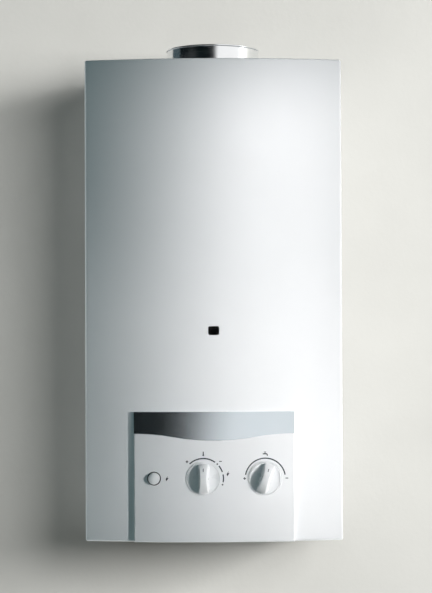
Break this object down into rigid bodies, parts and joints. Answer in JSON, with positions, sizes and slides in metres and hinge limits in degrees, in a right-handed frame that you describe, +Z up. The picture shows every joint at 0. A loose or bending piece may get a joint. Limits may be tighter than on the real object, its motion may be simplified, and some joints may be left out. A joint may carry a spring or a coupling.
{
  "type": "gas instantaneous water heater",
  "caption": "Wall-hung open-flued gas water heater: bowed white sheet casing, round flue collar on top, sight window, and a fascia with two dials and a push-button igniter",
  "frame": {"origin": "on the wall plane, midway between the two upper hanging holes", "axes": "X to the right seen from the front, Y into the wall, Z up"},
  "size_m": [0.31, 0.2429, 0.623],
  "materials": {
    "casing_enamel": "satin white stove enamel on bent sheet steel",
    "fascia_plastic": "fine-grained moulded plastic, cool white",
    "band_silver": "silver metallised insert, satin",
    "knob_plastic": "smooth white moulded plastic",
    "spring_steel": "blue-grey spring steel",
    "zinc_plated_steel": "bright zinc plating",
    "galvanised_sheet": "galvanised sheet with a faint spangle",
    "polished_aluminium": "polished, with fine drawing lines round it",
    "copper": "drawn copper, slightly dulled",
    "stainless_steel": "stainless steel, heat-tinted at the burner",
    "aluminised_pipe": "aluminised steel pipe",
    "brass": "machined and cast brass",
    "cast_aluminium": "die-cast light alloy, fine grain",
    "ceramic": "white glazed ceramic",
    "black_plastic": "black heat-resistant plastic",
    "rubber": "black synthetic rubber"
  },
  "bodies": {
    "front_cover": {"casing_cover": "casing_enamel", "control_fascia": "fascia_plastic", "fascia_band": "band_silver", "fascia_clips": "spring_steel", "cover_screws": "zinc_plated_steel", "cover_clip_nuts": "zinc_plated_steel"},
    "gas_plunger": {"pilot_plunger": "stainless_steel"},
    "power_dial": {"power_knob": "knob_plastic", "power_spindle": "stainless_steel"},
    "temperature_dial": {"temperature_knob": "knob_plastic", "temperature_spindle": "stainless_steel"},
    "igniter_button": {"piezo_button": "knob_plastic"},
    "water_rod": {"diaphragm_rod": "stainless_steel", "gas_disc": "rubber"},
    "appliance": {"back_plate": "galvanised_sheet", "burner_blades": "stainless_steel", "burner_frame": "galvanised_sheet", "cold_inlet_pipe": "copper", "connection_bracket": "zinc_plated_steel", "controls_bracket": "zinc_plated_steel", "diaphragm": "rubber", "diaphragm_cover": "brass", "diaphragm_screws": "zinc_plated_steel", "disc_spring": "spring_steel", "exchanger_brackets": "zinc_plated_steel", "exchanger_coil": "copper", "exchanger_jacket": "copper", "exchanger_return_bends": "copper", "fin_block": "copper", "flue_collar": "polished_aluminium", "flue_hood": "galvanised_sheet", "gas_inlet_pipe": "aluminised_pipe", "gas_manifold": "aluminised_pipe", "gas_valve_body": "cast_aluminium", "gas_valve_cover": "cast_aluminium", "gas_valve_screws": "zinc_plated_steel", "gland_nut": "brass", "hood_baffle": "galvanised_sheet", "hood_skirt": "galvanised_sheet", "hot_outlet_pipe": "copper", "ignition_electrode": "ceramic", "ignition_lead": "black_plastic", "injectors": "brass", "inlet_strainer": "stainless_steel", "lock_nuts": "zinc_plated_steel", "overheat_thermostat": "black_plastic", "piezo_body": "black_plastic", "piezo_nut": "zinc_plated_steel", "piezo_spring": "spring_steel", "pilot_bracket": "zinc_plated_steel", "pilot_burner": "brass", "pilot_gas_pipe": "aluminised_pipe", "plunger_spring": "spring_steel", "thermo_magnet": "brass", "thermocouple": "brass", "thermocouple_lead": "copper", "water_valve_body": "brass"}
  },
  "joints": [
    {"name": "cover_removal", "type": "slide", "parent": "appliance", "child": "front_cover", "axis": [0, -1, 0], "range_m": [0, 0.3]},
    {"name": "gas_plunger_press", "type": "slide", "parent": "appliance", "child": "gas_plunger", "axis": [0, 1, 0], "range_m": [0, 0.004], "stiffness_N_per_m": 400, "springref_m": -0.01, "deforming": ["plunger_spring"]},
    {"name": "power_dial_turn", "type": "hinge", "parent": "gas_plunger", "child": "power_dial", "pos_m": [-0.013, -0.22, -0.464], "axis": [0, 1, 0], "range_deg": [-43, 107.5]},
    {"name": "temperature_dial_turn", "type": "hinge", "parent": "appliance", "child": "temperature_dial", "pos_m": [0.061, -0.22, -0.464], "axis": [0, 1, 0], "range_deg": [-99, 61]},
    {"name": "igniter_press", "type": "slide", "parent": "appliance", "child": "igniter_button", "axis": [0, 1, 0], "range_m": [0, 0.006], "stiffness_N_per_m": 600, "springref_m": -0.006, "deforming": ["piezo_spring"]},
    {"name": "water_rod_slide", "type": "slide", "parent": "appliance", "child": "water_rod", "axis": [-1, 0, 0], "range_m": [0, 0.003], "stiffness_N_per_m": 800, "springref_m": -0.005, "deforming": ["disc_spring", "diaphragm"]}
  ]
}
